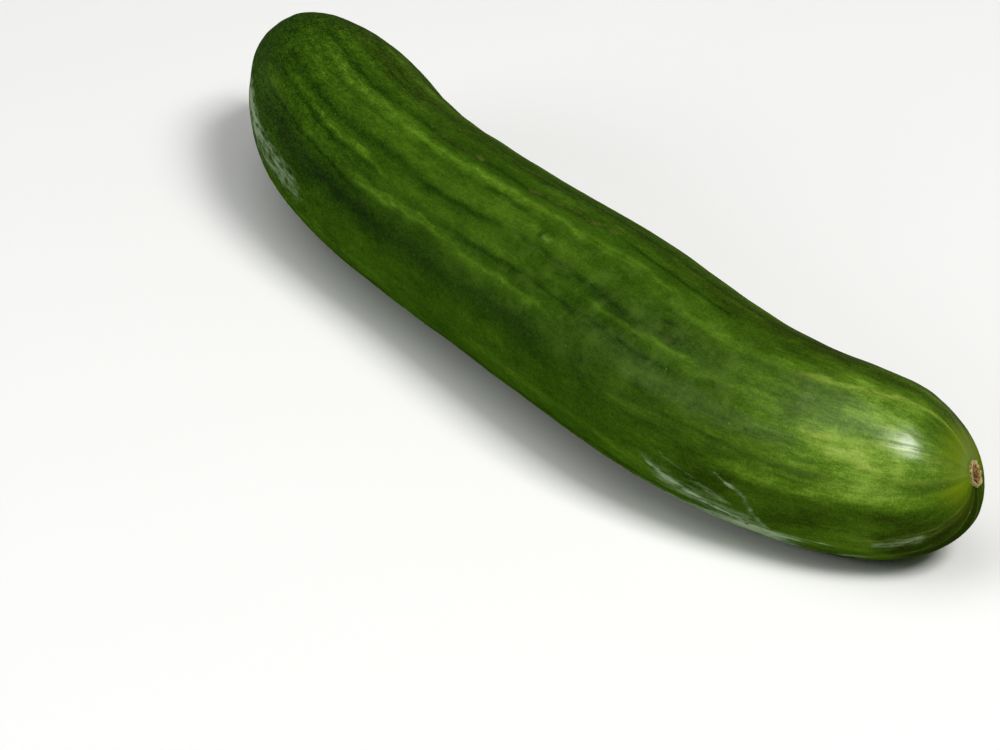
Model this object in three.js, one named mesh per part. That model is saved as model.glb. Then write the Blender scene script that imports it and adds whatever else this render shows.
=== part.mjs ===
// A whole greenhouse salad cucumber, as picked, lying on a flat surface.
// It grew in one piece, so it is one closed solid: a round, slightly ribbed body swept along a bent axis, with the
// cut stub of its stalk in a shallow hollow at one end and the dry scar of its flower at the other.
// Millimetres, +Z up. The middle of the fruit runs along +X from the stalk to the blossom end, and the origin is
// under the middle of its outline, on the surface that it rests on.

import * as THREE from "three";

// ---- Driving dimensions -------------------------------------------------------------------------------------

const FRUIT_LENGTH = 308; // along the axis, from the foot of the stalk to the blossom scar
const BODY_RADIUS = 24.5;

// The axis lies level and has two gentle bends, both towards +Y: degrees, and mm from the foot of the stalk.
const STALK_BEND = { angle: 16.1, centre: 81, length: 84 };
const BLOSSOM_BEND = { angle: 36.6, centre: 257.5, length: 100.5 };

// Where the body is thicker or thinner than BODY_RADIUS: mm of radius, at mm from the stalk, over mm.
const SWELLS = [
  { rise: 0.37, centre: 63.5, reach: 31.5 }, // shoulder behind the stalk end
  { rise: 1.32, centre: 198, reach: 46 }, // belly, the thickest place
  { rise: -1.87, centre: 287.5, reach: 41 }, // draws in towards the blossom end
];

// Each end closes as a superellipse. Its exponents say how square its shoulder is and how blunt its tip.
const STALK_CAP = { length: 61, shoulder: 1.67, tip: 2.6 };
const BLOSSOM_CAP = { length: 38, shoulder: 2.58, tip: 2.44 };

// The axis climbs a little towards each tip, ever more steeply.
const STALK_LIFT = { height: 2.9, length: 57 };
const BLOSSOM_LIFT = { height: 2.7, length: 22.7 };
const LIFT_POWER = 3;

// Cross-section: three broad lobes, from the three seed chambers, and the faint ribs of the skin.
const LOBES = { count: 3, height: 0.2, turn: 25 }; // mm, degrees from straight up
const RIBS = { count: 14, height: 0.18, heightAtEnds: 0.38, fade: 55 };

// The fruit's own weight flattens it by this much where it rests.
const SETTLED = 0.5;

// Each tip sinks into a shallow hollow, in which the stalk and the scar stand.
const STALK_HOLLOW = { depth: 0.9, radius: 8 };
const BLOSSOM_HOLLOW = { depth: 0.7, radius: 6.5 };

// Profiles round the axis, from the skin to the middle: [distance out from the bottom of the hollow, radius].
const STUB = [
  [0.1, 5.4], // flared foot
  [0.9, 4.2],
  [2.2, 3.6],
  [4.0, 3.5],
  [4.6, 3.2], // rounded edge of the cut
  [4.7, 2.4],
  [4.4, 1.2], // the cut face dries out hollow
];
const SCAR = [
  [0.25, 4.1],
  [0.75, 3.3], // rim
  [0.6, 2.4],
  [0.1, 1.3], // sunken middle
];

// Fineness of the skin.
const AROUND = 5 * RIBS.count;
const RINGS = { stalkCap: 12, body: 17, blossomCap: 11 };
const AXIS_STEPS = 400;

// ---- Shape along the axis -----------------------------------------------------------------------------------

const { clamp, degToRad, lerp, smoothstep } = THREE.MathUtils;

/** Heading of the axis from +X towards +Y, in radians, `s` mm from the stalk. */
function headingAt(s) {
  const turned = ({ centre, length }) => smoothstep(s, centre - length / 2, centre + length / 2);
  return degToRad(STALK_BEND.angle * (turned(STALK_BEND) - 1) + BLOSSOM_BEND.angle * turned(BLOSSOM_BEND));
}

/** Radius of the body before its ends close in. */
function fullRadiusAt(s) {
  return SWELLS.reduce(
    (radius, { rise, centre, reach }) => radius + rise * Math.exp(-(((s - centre) / reach) ** 2)),
    BODY_RADIUS,
  );
}

/** Share of the full radius that an end leaves, `inset` mm in from its tip. */
function capShare(inset, { length, shoulder, tip }) {
  const left = clamp(1 - inset / length, 0, 1);
  return (1 - left ** shoulder) ** (1 / tip);
}

function radiusAt(s) {
  return fullRadiusAt(s) * capShare(s, STALK_CAP) * capShare(FRUIT_LENGTH - s, BLOSSOM_CAP);
}

/** Height of the axis over the surface that the fruit rests on. */
function heightAt(s) {
  const lift = (inset, { height, length }) => height * clamp(1 - inset / length, 0, 1) ** LIFT_POWER;
  const inside = clamp(s, 0, FRUIT_LENGTH);
  return fullRadiusAt(inside) - SETTLED + lift(inside, STALK_LIFT) + lift(FRUIT_LENGTH - inside, BLOSSOM_LIFT);
}

/** The fruit's axis, from the foot of the stalk (t = 0) to the blossom end (t = 1). */
class FruitAxis extends THREE.Curve {
  constructor() {
    super();
    // Running sums of the heading give the plan of the axis.
    this.plan = [new THREE.Vector2(0, 0)];
    for (let i = 1; i <= AXIS_STEPS; i += 1) {
      const heading = headingAt(((i - 0.5) / AXIS_STEPS) * FRUIT_LENGTH);
      const step = new THREE.Vector2(Math.cos(heading), Math.sin(heading));
      this.plan.push(step.multiplyScalar(FRUIT_LENGTH / AXIS_STEPS).add(this.plan[i - 1]));
    }
  }

  getPoint(t, target = new THREE.Vector3()) {
    const place = clamp(t, 0, 1) * AXIS_STEPS;
    const i = Math.min(Math.floor(place), AXIS_STEPS - 1);
    const { x, y } = new THREE.Vector2().lerpVectors(this.plan[i], this.plan[i + 1], place - i);
    return target.set(x, y, heightAt(t * FRUIT_LENGTH));
  }
}

// ---- Rings of the skin --------------------------------------------------------------------------------------

/** How far the hollow at an end sinks the skin at `radius` from the axis. */
function sunk(radius, hollow) {
  return hollow.depth * Math.exp(-((radius / hollow.radius) ** 2));
}

/** Stations over one end, from near its tip to its shoulder: how far in from the tip each lies. */
function capInsets({ length, shoulder }, count) {
  return Array.from({ length: count }, (_, i) => {
    const turn = ((i + 1) / count) * (Math.PI / 2);
    return length * (1 - Math.cos(turn) ** (2 / shoulder));
  });
}

/** Every ring of the skin in order, as its place along the axis and its radius. */
function skinRings() {
  const ring = (s) => ({ s, radius: radiusAt(s) });
  const widest = (profile) => Math.max(...profile.map(([, radius]) => radius));
  const bodyEnd = FRUIT_LENGTH - BLOSSOM_CAP.length;

  const stub = STUB.map(([out, radius]) => ({ s: STALK_HOLLOW.depth - out, radius })).reverse();
  const stalkCap = capInsets(STALK_CAP, RINGS.stalkCap)
    .map(ring)
    .filter(({ radius }) => radius > widest(STUB) + 1)
    .map(({ s, radius }) => ({ s: s + sunk(radius, STALK_HOLLOW), radius }));
  const body = Array.from({ length: RINGS.body }, (_, i) =>
    ring(lerp(STALK_CAP.length, bodyEnd, (i + 1) / RINGS.body)),
  );
  const blossomCap = capInsets(BLOSSOM_CAP, RINGS.blossomCap)
    .slice(0, -1)
    .map((inset) => ring(FRUIT_LENGTH - inset))
    .filter(({ radius }) => radius > widest(SCAR) + 1)
    .map(({ s, radius }) => ({ s: s - sunk(radius, BLOSSOM_HOLLOW), radius }))
    .reverse();
  const scar = SCAR.map(([out, radius]) => ({ s: FRUIT_LENGTH - BLOSSOM_HOLLOW.depth + out, radius }));
  return [...stub, ...stalkCap, ...body, ...blossomCap, ...scar];
}

/** How far the skin stands off a true circle at `angle` round the axis, 0 being straight up. */
function reliefAt(s, radius, angle) {
  const toEnd = Math.min(s, FRUIT_LENGTH - s);
  const ribHeight = lerp(RIBS.heightAtEnds, RIBS.height, smoothstep(toEnd, 0, RIBS.fade));
  const lobes = LOBES.height * Math.cos(LOBES.count * (angle - degToRad(LOBES.turn)));
  const ribs = ribHeight * Math.cos(RIBS.count * angle);
  return (lobes + ribs) * smoothstep(radius, 0, BODY_RADIUS);
}

/** The closed skin: a ring of points at each station, joined by quads and closed by a fan at each tip. */
class FruitSkin extends THREE.BufferGeometry {
  constructor(axis, rings) {
    super();
    const points = rings.flatMap((ring) => FruitSkin.ringPoints(axis, ring));
    const firstTip = points.push(FruitSkin.frameAt(axis, rings[0].s).centre) - 1;
    const lastTip = points.push(FruitSkin.frameAt(axis, rings.at(-1).s).centre) - 1;

    const faces = [];
    for (let i = 0; i < AROUND; i += 1) {
      const next = (i + 1) % AROUND;
      const last = (rings.length - 1) * AROUND;
      faces.push(firstTip, next, i, lastTip, last + i, last + next);
      for (let row = 0; row < last; row += AROUND) {
        faces.push(row + i, row + next, row + AROUND + next);
        faces.push(row + i, row + AROUND + next, row + AROUND + i);
      }
    }
    this.setFromPoints(points);
    this.setIndex(faces);
    this.computeVertexNormals();
  }

  /** Centre of the section at `s`, with the unit vectors up and to the side that span it. */
  static frameAt(axis, s) {
    const inside = clamp(s, 0, FRUIT_LENGTH);
    const along = axis.getTangent(inside / FRUIT_LENGTH);
    const side = new THREE.Vector3(along.y, -along.x, 0).normalize();
    const up = new THREE.Vector3().crossVectors(side, along);
    const centre = axis.getPoint(inside / FRUIT_LENGTH).addScaledVector(along, s - inside);
    return { centre, side, up };
  }

  static ringPoints(axis, { s, radius }) {
    const { centre, side, up } = FruitSkin.frameAt(axis, s);
    return Array.from({ length: AROUND }, (_, i) => {
      const angle = (i / AROUND) * 2 * Math.PI;
      const reach = radius + reliefAt(s, radius, angle);
      const point = centre
        .clone()
        .addScaledVector(up, reach * Math.cos(angle))
        .addScaledVector(side, reach * Math.sin(angle));
      return point.setZ(Math.max(point.z, 0));
    });
  }
}

// ---- Assembly -----------------------------------------------------------------------------------------------

const skin = new FruitSkin(new FruitAxis(), skinRings());
skin.computeBoundingBox();
const middle = skin.boundingBox.getCenter(new THREE.Vector3());
skin.translate(-middle.x, -middle.y, 0);

const cucumber = new THREE.Mesh(
  skin,
  new THREE.MeshStandardMaterial({ color: 0x2f5d18, roughness: 0.42, metalness: 0 }),
);
cucumber.name = "cucumber";

const group = new THREE.Group();
group.add(cucumber);

export default group;
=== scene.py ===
"""A whole salad cucumber as picked, lying on a pale floor in soft studio light.

Every surface of the fruit is worked out from `s`, the mm along its axis from the foot of the stalk, and from
the angle round that axis, in degrees from straight up. For the finishes to read, each of its meshes carries
`s` and the angle's sine and cosine in the attribute "grown", and the skin carries its streaks in "marks".
"""

import logging
import math
from abc import ABC, abstractmethod
from collections.abc import Callable
from dataclasses import dataclass
from enum import Enum

import bpy
import numpy as np
from bpy.types import ID, ColorRampElements, Material, NodeSocket, Object
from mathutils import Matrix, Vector

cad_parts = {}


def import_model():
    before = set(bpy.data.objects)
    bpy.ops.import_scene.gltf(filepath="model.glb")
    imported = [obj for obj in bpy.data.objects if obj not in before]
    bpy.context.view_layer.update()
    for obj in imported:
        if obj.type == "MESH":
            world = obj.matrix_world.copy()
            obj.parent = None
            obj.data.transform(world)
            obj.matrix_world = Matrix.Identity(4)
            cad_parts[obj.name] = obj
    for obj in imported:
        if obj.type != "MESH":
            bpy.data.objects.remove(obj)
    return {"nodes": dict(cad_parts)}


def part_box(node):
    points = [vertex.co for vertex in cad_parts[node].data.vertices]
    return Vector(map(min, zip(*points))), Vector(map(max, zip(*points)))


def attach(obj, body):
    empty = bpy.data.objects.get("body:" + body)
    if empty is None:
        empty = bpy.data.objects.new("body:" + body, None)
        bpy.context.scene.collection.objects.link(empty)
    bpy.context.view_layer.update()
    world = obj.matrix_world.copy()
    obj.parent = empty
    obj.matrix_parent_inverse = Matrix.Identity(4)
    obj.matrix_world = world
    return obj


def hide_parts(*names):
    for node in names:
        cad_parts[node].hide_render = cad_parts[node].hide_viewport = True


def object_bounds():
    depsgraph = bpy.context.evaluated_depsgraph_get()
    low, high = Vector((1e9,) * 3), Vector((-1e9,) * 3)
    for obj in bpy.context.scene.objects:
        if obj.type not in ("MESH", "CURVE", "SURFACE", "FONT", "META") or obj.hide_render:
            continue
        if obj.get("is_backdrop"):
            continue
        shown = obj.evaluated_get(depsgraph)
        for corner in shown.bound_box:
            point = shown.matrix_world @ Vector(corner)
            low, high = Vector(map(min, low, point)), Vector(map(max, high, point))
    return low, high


LOG = logging.getLogger("cucumber")
MM = 0.001
NODE, BODY = "cucumber", "root"
GROWN, MARKS = "grown", "marks"

Array = np.ndarray
Chance = np.random.Generator
Colour = tuple[float, float, float]
Span = tuple[float, float]
Profile = tuple[Span, ...]
Stops = list[tuple[float, Colour]]
Relief = Callable[[Array, Array, Array], tuple[Array, Array]]


def srgb(red: int, green: int, blue: int) -> Colour:
    """Linear colour for display values from 0 to 255, by the sRGB curve."""
    shares = [value / 255 for value in (red, green, blue)]
    return tuple(v / 12.92 if v <= 0.04045 else ((v + 0.055) / 1.055) ** 2.4 for v in shares)


def smoothstep(value: Array, low: float, high: float) -> Array:
    """0 below `low`, 1 above `high`, and 3t^2 - 2t^3 between them."""
    share = np.clip((value - low) / (high - low), 0, 1)
    return share * share * (3 - 2 * share)


@dataclass(frozen=True)
class Ripples:
    """Even, seamless roughness: plane waves of about one wavelength in random directions, added up.

    Attributes:
        height: root mean square of the sum.
        wavelength: mm from crest to crest across the fruit.
        seed: picks the directions, lengths and phases.
        stretch: how many times longer the waves are along the fruit.
        count: how many waves are added.
        spread: the shortest and the longest wave, in wavelengths.
    """

    height: float
    wavelength: float
    seed: int
    stretch: float = 1.0
    count: int = 28
    spread: Span = (0.75, 1.3)

    def at(self, places: Array) -> Array:
        """Adds the waves up, where each is the cosine of the way along it, in turns, plus its phase.

        Args:
            places: mm along the fruit and two mm values across it, in the last axis.

        Returns:
            The sum at each place.
        """
        rng = np.random.default_rng(self.seed)
        directions = rng.normal(size=(self.count, 3))
        directions /= np.linalg.norm(directions, axis=1, keepdims=True)
        pitch = self.wavelength * rng.uniform(*self.spread, size=(self.count, 1))
        phases = rng.uniform(0, 2 * math.pi, size=self.count)
        drawn_in = places / [self.stretch, 1, 1]
        waves = np.cos(drawn_in @ (2 * math.pi * directions / pitch).T + phases)
        return self.height * (waves.sum(axis=-1) * math.sqrt(2 / self.count))


# ---- Shape of the fruit ----


@dataclass(frozen=True)
class Bend:
    """A smooth turn of the axis: `angle` degrees to the left, about `centre` mm, over `length` mm."""

    angle: float
    centre: float
    length: float

    def turned(self, s: Array) -> Array:
        """Share of the turn that lies behind each place."""
        return smoothstep(s, self.centre - self.length / 2, self.centre + self.length / 2)


@dataclass(frozen=True)
class Swell:
    """A bell-shaped change of radius: `rise` mm at `centre`, dying away over `reach` mm."""

    rise: float
    centre: float
    reach: float

    def at(self, s: Array) -> Array:
        """Change of radius at each place."""
        return self.rise * np.exp(-(((s - self.centre) / self.reach) ** 2))


@dataclass(frozen=True)
class End:
    """One end of the body, closed as a superellipse: (radius / full)^tip + (1 - inset / length)^shoulder = 1.

    Attributes:
        length: mm over which the body closes in.
        shoulder: exponent that says how square its shoulder is.
        tip: exponent that says how blunt its tip is.
        lift: mm by which the axis climbs towards the tip: lift * (1 - inset / lift_length)^lift_power.
        lift_length: mm over which it climbs.
        hollow_depth: mm by which the tip is sunk.
        hollow_radius: mm from the axis where the hollow is down to a third of its depth.
        lift_power: how late it climbs.
    """

    length: float
    shoulder: float
    tip: float
    lift: float
    lift_length: float
    hollow_depth: float
    hollow_radius: float
    lift_power: int = 3

    def share(self, inset: Array) -> Array:
        """Share of the full radius at `inset` mm in from the tip."""
        left = np.clip(1 - inset / self.length, 0, 1)
        return (1 - left**self.shoulder) ** (1 / self.tip)

    def insets(self, turn: Array) -> Array:
        """How far in from the tip a quarter turn from 0 to 1 lies."""
        return self.length * (1 - np.cos(turn * math.pi / 2) ** (2 / self.shoulder))

    def lifted(self, inset: Array) -> Array:
        """How far the axis has climbed at `inset` mm in from the tip."""
        return self.lift * np.clip(1 - inset / self.lift_length, 0, 1) ** self.lift_power

    def sunk(self, radius: Array) -> Array:
        """How far the hollow at the tip sinks the skin at `radius` mm from the axis."""
        return self.hollow_depth * np.exp(-((radius / self.hollow_radius) ** 2))


@dataclass(frozen=True)
class Axis:
    """The bent line that the fruit grew along, and its radius there. Both bends turn it to the left.

    Attributes:
        length: mm from the foot of the stalk to the blossom scar.
        radius: mm from the axis to the plain body's skin.
        stalk_bend: the bend in the stalk half.
        blossom_bend: the bend in the blossom half.
        swells: where the body is thicker or thinner.
        stalk_end: how the body closes at the stalk.
        blossom_end: how it closes at the blossom scar.
        settled: mm by which the fruit's own weight flattens it where it rests.
        steps: short straight steps that stand for the curve.
        nudge: mm to either side of a place that its direction is taken from.
    """

    length: float = 308
    radius: float = 24.5
    stalk_bend: Bend = Bend(angle=16.1, centre=81, length=84)
    blossom_bend: Bend = Bend(angle=36.6, centre=257.5, length=100.5)
    swells: tuple[Swell, ...] = (
        Swell(rise=0.37, centre=63.5, reach=31.5),
        Swell(rise=1.32, centre=198, reach=46),
        Swell(rise=-1.87, centre=287.5, reach=41),
    )
    stalk_end: End = End(
        length=61, shoulder=1.67, tip=2.6, lift=2.9, lift_length=57, hollow_depth=0.9, hollow_radius=8
    )
    blossom_end: End = End(
        length=38, shoulder=2.58, tip=2.44, lift=2.7, lift_length=22.7, hollow_depth=0.7, hollow_radius=6.5
    )
    settled: float = 0.5
    steps: int = 2000
    nudge: float = 0.05

    def full_radius(self, s: Array) -> Array:
        """Radius of the body before its ends close in."""
        return self.radius + sum(swell.at(s) for swell in self.swells)

    def body_radius(self, s: Array) -> Array:
        """Radius of the body with its ends closed."""
        ends = self.stalk_end.share(s) * self.blossom_end.share(self.length - s)
        return self.full_radius(s) * ends

    def heading(self, s: Array) -> Array:
        """Direction of the axis in plan, in radians from +X towards +Y."""
        stalk, blossom = self.stalk_bend, self.blossom_bend
        return np.radians(stalk.angle * (stalk.turned(s) - 1) + blossom.angle * blossom.turned(s))

    def centre(self, s: Array) -> Array:
        """Place of the axis, in mm from the foot of the stalk.

        Its plan is the running sum of its heading, and its height lets the body rest on the floor all along.
        Past either end the axis runs on level and straight.

        Args:
            s: mm along the axis, of any shape.

        Returns:
            Points, with their coordinates in a new last axis.
        """
        knots = np.linspace(0, self.length, self.steps + 1)
        headings = self.heading((knots[1:] + knots[:-1]) / 2)
        pace = self.length / self.steps
        x = np.concatenate([[0], np.cumsum(np.cos(headings))]) * pace
        y = np.concatenate([[0], np.cumsum(np.sin(headings))]) * pace
        inside = np.clip(s, 0, self.length)
        past = s - inside
        lifted = self.stalk_end.lifted(inside) + self.blossom_end.lifted(self.length - inside)
        return np.stack(
            [
                np.interp(inside, knots, x) + past * np.cos(self.heading(inside)),
                np.interp(inside, knots, y) + past * np.sin(self.heading(inside)),
                self.full_radius(inside) - self.settled + lifted,
            ],
            axis=-1,
        )

    def frames(self, s: Array) -> tuple[Array, Array, Array]:
        """Centre of the section at each place, with its side and up directions.

        Args:
            s: mm along the axis.

        Returns:
            Centres in mm, and unit vectors to the side and upwards, square to the axis.
        """
        inside = np.clip(s, self.nudge, self.length - self.nudge)
        along = self.centre(inside + self.nudge) - self.centre(inside - self.nudge)
        along /= np.linalg.norm(along, axis=-1, keepdims=True)
        side = np.stack([along[..., 1], -along[..., 0], np.zeros_like(along[..., 0])], axis=-1)
        side /= np.linalg.norm(side, axis=-1, keepdims=True)
        return self.centre(s), side, np.cross(side, along)


# ---- Streaks of the skin ----


class Tone(Enum):
    """What a streak is: a band, line or groove of the skin, or a band of painted shade or painted sheen."""

    PALE = "pale band"
    RAY = "yellowish ray"
    # Dark grooves, and also broad bands of painted shade on the lower and back sides.
    DARK = "dark groove"
    SCUFF = "brown scuff"
    # Painted sheen and reflections: whitish streaks that stand for glare on the skin.
    BLOOM = "whitish wax bloom"


@dataclass(frozen=True)
class Streak:
    """A lengthwise streak, on a parabola through its angles at the start, middle and end.

    Attributes:
        start: mm along the axis where it begins.
        end: mm along the axis where it ends.
        angles: degrees round the axis at its start, middle and end, or one angle all along.
        width: degrees to either side over which it fades out.
        strength: how much of its tone it shows.
        relief: mm that it stands proud, or less than 0 for a groove.
        fade: share of its length over which it fades in, and out again.
    """

    start: float
    end: float
    angles: tuple[float, float, float] | float
    width: float
    strength: float
    relief: float = 0.0
    fade: float = 0.2

    def mask(self, s: Array, angle: Array) -> Array:
        """How much of the streak shows: a smooth hill across, fading in and out along its length.

        Args:
            s: mm along the axis.
            angle: degrees round the axis.

        Returns:
            Values from 0 outside the streak to 1 in its middle.
        """
        first, middle, last = np.broadcast_to(self.angles, 3)
        t = (s - self.start) / (self.end - self.start)
        centre = (t * (2 * first - 4 * middle + 2 * last) + (4 * middle - 3 * first - last)) * t + first
        off = np.abs((angle - centre + 180) % 360 - 180)
        return smoothstep(off, self.width, 0) * smoothstep(t, 0, self.fade) * smoothstep(t, 1, 1 - self.fade)


PALE_STREAKS = (
    Streak(34, 118, (-4, -5, -8), 6, 0.35, 0.03),
    Streak(105, 240, -7, 6, 0.3, 0.04),
    Streak(42, 184, (9, 13.5, 14), 8, 0.72, 0.08),
    Streak(96, 192, (13, 14.5, 13), 6, 0.3),
    Streak(168, 236, (13, 10, 8), 2.6, 0.55, 0.03),
    Streak(182, 216, (10, 13.5, 9), 1.8, 0.45, 0.03),
    Streak(215, 306, (12, 16, 14), 7, 0.32, 0.04),
    Streak(20, 238, (25, 26, 27), 9, 0.42, 0.07),
    Streak(26, 78, (14, 15, 15), 10, 0.3),
    Streak(268, 292, (66, 68, 72), 9, 0.35),
    Streak(48, 116, (38, 40.5, 43), 2, 0.6, 0.02),
    Streak(58, 120, (46, 48, 50), 1.8, 0.45, 0.03),
    Streak(72, 122, (41.5, 43, 45), 1.8, 0.65, 0.02),
    Streak(98, 152, (55, 56.5, 57), 1.8, 0.5, 0.03),
    Streak(118, 186, (46, 46, 47), 7, 0.4, 0.05),
    Streak(180, 268, (43, 40, 40), 5, 0.3, 0.03),
    Streak(206, 248, (40, 39, 38), 2.4, 0.5, 0.03),
    Streak(226, 276, 42, 9, 0.3),
    Streak(36, 104, (50, 52, 53), 6, 0.3, 0.04),
    Streak(104, 156, (57, 60, 61), 2, 0.45, 0.03),
    Streak(154, 204, (61, 60, 60), 1.8, 0.48, 0.03),
    Streak(96, 206, (58, 60, 61), 5, 0.5, 0.05),
    Streak(186, 250, (57, 58, 58), 7, 0.25),
    Streak(254, 300, (84, 82, 76), 9, 0.45, 0.03),
    Streak(173.5, 181.5, 25, 4, 0.3, 0.05),
    Streak(181, 185.5, 26, 3.2, 0.4, 0.35),
    Streak(256, 302, (58, 56, 52), 19, 0.55),
    Streak(269, 293, (41, 50, 69), 7, 0.4),
    Streak(262, 320, 30, 15, 0.3),
    Streak(226, 246, (79, 79, 78), 4, 0.45),
    Streak(255.5, 259.5, -8, 5, 0.6),
)
RAY_STREAKS = (
    Streak(262, 316, (15.5, 9, -6), 5, 0.8, 0.02),
    Streak(268, 307, (52.5, 46.5, 45), 3, 0.8, 0.03),
    Streak(270, 298, (50, 56, 68), 8, 0.35),
    Streak(300, 307, 51, 9, 0.55),
    Streak(285, 292, (62, 64, 66), 6, 0.45),
    Streak(290, 318, (28, 26, 24), 7, 0.25),
    Streak(288, 318, (73, 70, 68), 8, 0.35),
    Streak(284, 310, 119, 7, 0.35),
    Streak(292, 318, (-20, -24, -28), 7, 0.3),
)
DARK_STREAKS = (
    Streak(34, 104, (4, 4, 3), 3.6, 0.4, -0.05),
    Streak(92, 200, (2, 3, 0), 3.6, 0.5, -0.06),
    Streak(194, 246, -1, 2, 0.7, -0.05),
    Streak(55, 98, -14, 3, 0.35, -0.05),
    Streak(138, 176, (-14, -14, -12), 2.4, 0.45, -0.05),
    Streak(66, 112, (19, 19, 20), 1.8, 0.25, -0.03),
    Streak(148, 174, 20, 2.8, 0.6, -0.03),
    Streak(48, 132, (33, 34, 36), 4, 0.5, -0.07),
    Streak(126, 172, (36, 35.5, 35), 3, 0.55, -0.08),
    Streak(166, 226, (35, 34, 33), 2.2, 0.45, -0.1),
    Streak(40, 58, (44, 45, 44), 3.5, 0.4, -0.03),
    Streak(50, 112, (43, 46, 49), 2.6, 0.4, -0.06),
    Streak(150, 186, (52, 53, 52), 3, 0.35, -0.03),
    Streak(44, 118, (57, 58.5, 66), 3, 0.6, -0.07),
    # Painted shade: broad dark bands low on the near flank, where the fruit lies in shade; the second is also
    # a shallow groove.
    Streak(36, 130, (68, 68, 72), 12, 0.65),
    Streak(60, 216, (80, 76, 80), 15, 0.55, -0.04),
    Streak(222, 238, 25, 1.8, 0.25),
    Streak(218, 240, 33, 1.8, 0.2, -0.05),
    Streak(236, 284, (74, 76, 74), 2.2, 0.5, -0.06),
    Streak(266, 290, (69, 65, 57), 2.2, 0.45, -0.04),
    Streak(262, 306, (93, 94, 99), 9, 0.35),
    # Painted shade: broad dark bands under the blossom end and low on its side.
    Streak(288, 312, (106, 112, 118), 22, 0.6),
    Streak(288, 330, (146, 144, 142), 42, 1.2),
    Streak(286, 314, (80, 78, 76), 13, 0.32),
    Streak(276, 326, (-4, -8, -12), 15, 1.0),
    # Painted shade round the small bump, which is also a shallow groove.
    Streak(180, 182.8, 26, 7, 0.7, -0.08),
    Streak(150, 250, (52, 50.5, 49.5), 2.2, 0.5, -0.04),
    Streak(160, 262, (33, 32, 30), 14, 0.25),
    Streak(198, 264, 36, 30, 0.3),
    Streak(240, 308, (-16, -18, -22), 13, 0.45),
    Streak(80, 175, 36, 7, 0.3),
    Streak(76, 118, (46, 47, 48), 6, 0.25),
    Streak(70, 114, 27, 7, 0.25),
    Streak(205, 280, (-4, -2, 2), 11, 0.35),
    Streak(281, 303, (25, 28, 31), 1.8, 0.4, -0.03),
    # Painted shade: a dark band along the back edge of the blossom half, and another low on its near rim,
    # where no light from the floor reaches.
    Streak(236, 318, (-40, -42, -48), 22, 0.55),
    Streak(258, 306, (144, 142, 140), 16, 0.9),
    Streak(214, 304, (-12, -8, -14), 8, 0.5, -0.05),
    Streak(264, 276, (-18, -11, -5), 2.4, 0.6, -0.04),
    Streak(272, 286, (-4, -4, -2), 3, 0.45),
    Streak(287, 305, (43.5, 42, 40.5), 2.6, 0.3, -0.1),
    Streak(240, 312, (104, 106, 98), 24, 0.6, -0.03),
    Streak(236, 262, (98, 102, 96), 4, 0.1, -0.22),
    Streak(243, 272, (116, 104, 100), 4, 0.1, -0.22),
    Streak(246, 276, (112, 116, 110), 4, 0.1, -0.2),
    Streak(248, 292, (127, 124, 119), 5, 0.1, -0.2),
    Streak(262, 300, (134, 130, 126), 5, 0.1, -0.2),
)
SCUFF_STREAKS = (
    Streak(106, 144, (1, 2, 3), 4.5, 0.5),
    Streak(135, 138.5, 3, 2.2, 0.75),
    Streak(155, 190, (2, 0.5, 0), 5, 0.6),
    Streak(184, 197, (-1, -1, -2), 5, 0.65),
    Streak(176, 181, -6, 3, 0.6),
    Streak(262, 271, (17, 17.5, 18), 2.2, 0.85),
    Streak(286.5, 291, (63, 64, 65), 3, 0.8),
    Streak(277, 281, (72, 73, 74), 2.2, 0.8),
)
# Painted sheen and reflections: a glint on the small bump, a haze patch on the blossom top, the floor's
# reflection in the creases of the lower blossom flank, a grey sheen patch below the blossom end, and a
# whitish reflection along the lower edge near the stalk; some also stand slightly proud.
PAINTED_SHEEN_STREAKS = (
    Streak(181.6, 185.8, 26.5, 3.2, 0.25),
    Streak(268.5, 273.5, 31, 16, 0.26),
    Streak(255.5, 261, (87, 97, 101), 2.6, 0.75, 0.03),
    Streak(258.5, 268, (98, 106, 131), 4.2, 0.5, 0.04),
    Streak(236, 267, (102, 116, 130), 3.6, 0.5, 0.04),
    Streak(240, 262, (92, 104, 112), 3, 0.3),
    Streak(236, 270, (108, 118, 128), 17, 0.4),
    Streak(226, 276, (141, 138, 135), 13, 0.85),
    Streak(246, 280, (130, 132, 132), 3, 0.4),
    Streak(257, 284, (132, 128, 129), 3, 0.55),
    Streak(262, 292, (144, 141, 139), 5, 0.4),
    Streak(288, 300.5, (124, 121, 118), 10, 0.5),
    Streak(8, 58, (66, 78, 90), 12, 0.4),
    Streak(20, 90, (84, 90, 96), 18, 0.54, 0.03),
)

STREAKS: dict[Tone, tuple[Streak, ...]] = {
    Tone.PALE: PALE_STREAKS,
    Tone.RAY: RAY_STREAKS,
    Tone.DARK: DARK_STREAKS,
    Tone.SCUFF: SCUFF_STREAKS,
    Tone.BLOOM: PAINTED_SHEEN_STREAKS,
}


@dataclass(frozen=True)
class Breed:
    """A kind of streak, as chance may draw it: spans of width and of strength, and mm of relief."""

    width: Span
    strength: Span
    relief: float = 0.0


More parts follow.
